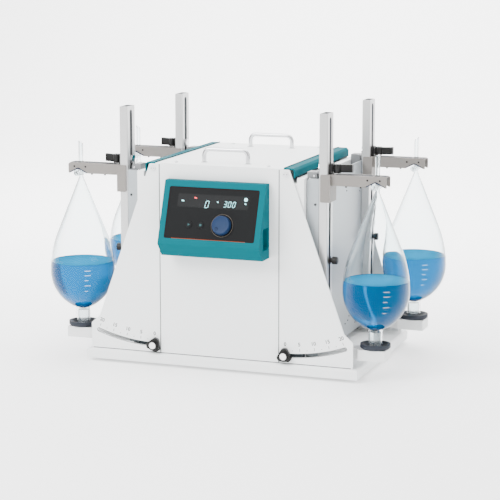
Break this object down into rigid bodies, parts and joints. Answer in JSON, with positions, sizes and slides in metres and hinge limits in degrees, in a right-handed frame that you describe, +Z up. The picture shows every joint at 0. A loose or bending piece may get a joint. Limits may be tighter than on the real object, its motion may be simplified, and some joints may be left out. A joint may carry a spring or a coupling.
{
  "type": "separatory funnel shaker",
  "caption": "Bench-top vertical shaker: white cabinet with a slanted control panel, tilting side racks with clamp arms, and glass separatory funnels of liquid.",
  "frame": {"origin": "centre of the bounding box's bottom, on the bench under the rubber feet", "axes": "+Z up; -Y towards the control panel; X across both racks"},
  "size_m": [0.886, 0.5359, 0.61],
  "materials": {
    "white_coat": "fine textured powder coat",
    "teal_coat": "satin powder coat",
    "fascia_film": "satin printed film",
    "dial_blue": "soft touch",
    "key_grey": "matte",
    "black_plastic": "moulded, fine grain",
    "black_rubber": "moulded",
    "slate_rubber": "matte moulded",
    "bare_steel": "fine brushed",
    "bright_steel": "ground and polished",
    "post_aluminium": "satin anodised",
    "arm_aluminium": "bead blasted, anodised",
    "carriage_grey": "satin anodised sheet",
    "rest_grey": "satin",
    "clear_glass": "clear borosilicate",
    "motor_black": "satin"
  },
  "bodies": {
    "chassis": {"base_plate": "white_coat", "rubber_feet": "black_rubber", "body_shell": "white_coat", "rear_panel": "white_coat", "top_cover": "white_coat", "top_rails": "teal_coat", "carry_handles": "bright_steel", "cover_screws": "bright_steel", "wing_plates": "white_coat", "pivot_bolts": "bright_steel", "control_housing": "teal_coat", "control_fascia": "fascia_film", "power_inlet": "black_plastic", "drive_unit": "bare_steel"},
    "dial": {"dial": "dial_blue"},
    "start_key": {"start_key": "key_grey"},
    "stop_key": {"stop_key": "key_grey"},
    "power_switch": {"power_switch": "black_plastic"},
    "tilt_rack_right": {"tilt_frame_right": "white_coat", "guide_shafts_right": "bright_steel", "gearmotor_right": "motor_black"},
    "crank_right": {"crank_disc_right": "bare_steel"},
    "carriage_right": {"carriage_plate_right": "carriage_grey", "linear_bearings_right": "bare_steel", "drive_yoke_right": "bare_steel", "rest_arms_right": "rest_grey", "rubber_cups_right": "slate_rubber", "funnels_right": "clear_glass", "stoppers_right": "clear_glass", "posts_right": "post_aluminium"},
    "tilt_knob_right": {"tilt_knob_right": "black_plastic"},
    "clamp_arm_front_right": {"clamp_arm_front_right": "arm_aluminium"},
    "clamp_lever_front_right": {"clamp_lever_front_right": "black_plastic"},
    "post_knob_front_right": {"post_knob_front_right": "black_plastic"},
    "stopcock_plug_front_right": {"stopcock_plug_front_right": "clear_glass"},
    "clamp_arm_rear_right": {"clamp_arm_rear_right": "arm_aluminium"},
    "clamp_lever_rear_right": {"clamp_lever_rear_right": "black_plastic"},
    "post_knob_rear_right": {"post_knob_rear_right": "black_plastic"},
    "stopcock_plug_rear_right": {"stopcock_plug_rear_right": "clear_glass"},
    "tilt_rack_left": {"tilt_frame_left": "white_coat", "guide_shafts_left": "bright_steel", "gearmotor_left": "motor_black"},
    "crank_left": {"crank_disc_left": "bare_steel"},
    "carriage_left": {"carriage_plate_left": "carriage_grey", "linear_bearings_left": "bare_steel", "drive_yoke_left": "bare_steel", "rest_arms_left": "rest_grey", "rubber_cups_left": "slate_rubber", "funnels_left": "clear_glass", "stoppers_left": "clear_glass", "posts_left": "post_aluminium"},
    "tilt_knob_left": {"tilt_knob_left": "black_plastic"},
    "clamp_arm_front_left": {"clamp_arm_front_left": "arm_aluminium"},
    "clamp_lever_front_left": {"clamp_lever_front_left": "black_plastic"},
    "post_knob_front_left": {"post_knob_front_left": "black_plastic"},
    "stopcock_plug_front_left": {"stopcock_plug_front_left": "clear_glass"},
    "clamp_arm_rear_left": {"clamp_arm_rear_left": "arm_aluminium"},
    "clamp_lever_rear_left": {"clamp_lever_rear_left": "black_plastic"},
    "post_knob_rear_left": {"post_knob_rear_left": "black_plastic"},
    "stopcock_plug_rear_left": {"stopcock_plug_rear_left": "clear_glass"}
  },
  "joints": [
    {"name": "tilt_right", "type": "hinge", "parent": "chassis", "child": "tilt_rack_right", "pos_m": [0.1625, 0.01919, 0.4715], "axis": [0, -1, 0], "range_deg": [0, 20]},
    {"name": "tilt_knob_turn_right", "type": "hinge", "parent": "tilt_rack_right", "child": "tilt_knob_right", "pos_m": [0.1625, -0.19481, 0.0515], "axis": [0, -1, 0], "continuous": true},
    {"name": "shake_right", "type": "slide", "parent": "tilt_rack_right", "child": "carriage_right", "axis": [0, 0, 1], "range_m": [-0.015, 0.015]},
    {"name": "crank_turn_right", "type": "hinge", "parent": "tilt_rack_right", "child": "crank_right", "pos_m": [0.207, 0.01919, 0.282], "axis": [1, 0, 0], "range_deg": [-90, 90]},
    {"name": "arm_height_front_right", "type": "slide", "parent": "carriage_right", "child": "clamp_arm_front_right", "axis": [0, 0, 1], "range_m": [0, 0.11]},
    {"name": "lever_swing_front_right", "type": "hinge", "parent": "clamp_arm_front_right", "child": "clamp_lever_front_right", "pos_m": [0.272, -0.15281, 0.485], "axis": [0, 0, 1], "range_deg": [0, 75]},
    {"name": "post_knob_turn_front_right", "type": "hinge", "parent": "carriage_right", "child": "post_knob_front_right", "pos_m": [0.255, -0.15281, 0.273], "axis": [1, 0, 0], "continuous": true},
    {"name": "stopcock_turn_front_right", "type": "hinge", "parent": "carriage_right", "child": "stopcock_plug_front_right", "pos_m": [0.366, -0.15281, 0.4485], "axis": [0, 1, 0], "continuous": true},
    {"name": "arm_height_rear_right", "type": "slide", "parent": "carriage_right", "child": "clamp_arm_rear_right", "axis": [0, 0, 1], "range_m": [0, 0.11]},
    {"name": "lever_swing_rear_right", "type": "hinge", "parent": "clamp_arm_rear_right", "child": "clamp_lever_rear_right", "pos_m": [0.272, 0.19119, 0.485], "axis": [0, 0, 1], "range_deg": [0, 75]},
    {"name": "post_knob_turn_rear_right", "type": "hinge", "parent": "carriage_right", "child": "post_knob_rear_right", "pos_m": [0.255, 0.19119, 0.273], "axis": [1, 0, 0], "continuous": true},
    {"name": "stopcock_turn_rear_right", "type": "hinge", "parent": "carriage_right", "child": "stopcock_plug_rear_right", "pos_m": [0.366, 0.19119, 0.4485], "axis": [0, 1, 0], "continuous": true},
    {"name": "tilt_left", "type": "hinge", "parent": "chassis", "child": "tilt_rack_left", "pos_m": [-0.1625, 0.01919, 0.4715], "axis": [0, 1, 0], "range_deg": [0, 20]},
    {"name": "tilt_knob_turn_left", "type": "hinge", "parent": "tilt_rack_left", "child": "tilt_knob_left", "pos_m": [-0.1625, -0.19481, 0.0515], "axis": [0, -1, 0], "continuous": true},
    {"name": "shake_left", "type": "slide", "parent": "tilt_rack_left", "child": "carriage_left", "axis": [0, 0, 1], "range_m": [-0.015, 0.015]},
    {"name": "crank_turn_left", "type": "hinge", "parent": "tilt_rack_left", "child": "crank_left", "pos_m": [-0.207, 0.01919, 0.282], "axis": [1, 0, 0], "range_deg": [-90, 90]},
    {"name": "arm_height_front_left", "type": "slide", "parent": "carriage_left", "child": "clamp_arm_front_left", "axis": [0, 0, 1], "range_m": [0, 0.11]},
    {"name": "lever_swing_front_left", "type": "hinge", "parent": "clamp_arm_front_left", "child": "clamp_lever_front_left", "pos_m": [-0.272, -0.15281, 0.485], "axis": [0, 0, -1], "range_deg": [0, 75]},
    {"name": "post_knob_turn_front_left", "type": "hinge", "parent": "carriage_left", "child": "post_knob_front_left", "pos_m": [-0.255, -0.15281, 0.273], "axis": [-1, 0, 0], "continuous": true},
    {"name": "stopcock_turn_front_left", "type": "hinge", "parent": "carriage_left", "child": "stopcock_plug_front_left", "pos_m": [-0.366, -0.15281, 0.4485], "axis": [0, 1, 0], "continuous": true},
    {"name": "arm_height_rear_left", "type": "slide", "parent": "carriage_left", "child": "clamp_arm_rear_left", "axis": [0, 0, 1], "range_m": [0, 0.11]},
    {"name": "lever_swing_rear_left", "type": "hinge", "parent": "clamp_arm_rear_left", "child": "clamp_lever_rear_left", "pos_m": [-0.272, 0.19119, 0.485], "axis": [0, 0, -1], "range_deg": [0, 75]},
    {"name": "post_knob_turn_rear_left", "type": "hinge", "parent": "carriage_left", "child": "post_knob_rear_left", "pos_m": [-0.255, 0.19119, 0.273], "axis": [-1, 0, 0], "continuous": true},
    {"name": "stopcock_turn_rear_left", "type": "hinge", "parent": "carriage_left", "child": "stopcock_plug_rear_left", "pos_m": [-0.366, 0.19119, 0.4485], "axis": [0, 1, 0], "continuous": true},
    {"name": "dial_turn", "type": "hinge", "parent": "chassis", "child": "dial", "pos_m": [0.0288, -0.24956, 0.35476], "axis": [0, -0.9382, 0.346], "continuous": true},
    {"name": "start_key_press", "type": "slide", "parent": "chassis", "child": "start_key", "axis": [0, 0.9382, -0.346], "range_m": [0, 0.001], "stiffness_N_per_m": 800, "springref_m": -0.0005},
    {"name": "stop_key_press", "type": "slide", "parent": "chassis", "child": "stop_key", "axis": [0, 0.9382, -0.346], "range_m": [0, 0.001], "stiffness_N_per_m": 800, "springref_m": -0.0005},
    {"name": "power_switch_rock", "type": "hinge", "parent": "chassis", "child": "power_switch", "pos_m": [0.1115, -0.22031, 0.324], "axis": [0, -1, 0], "range_deg": [0, 12]}
  ],
  "couplings": [
    {"joint": "crank_turn_right", "follows": "shake_right", "rad_per_m": 104.7},
    {"joint": "crank_turn_left", "follows": "shake_right", "rad_per_m": -104.7},
    {"joint": "shake_left", "follows": "shake_right", "ratio": -1}
  ]
}
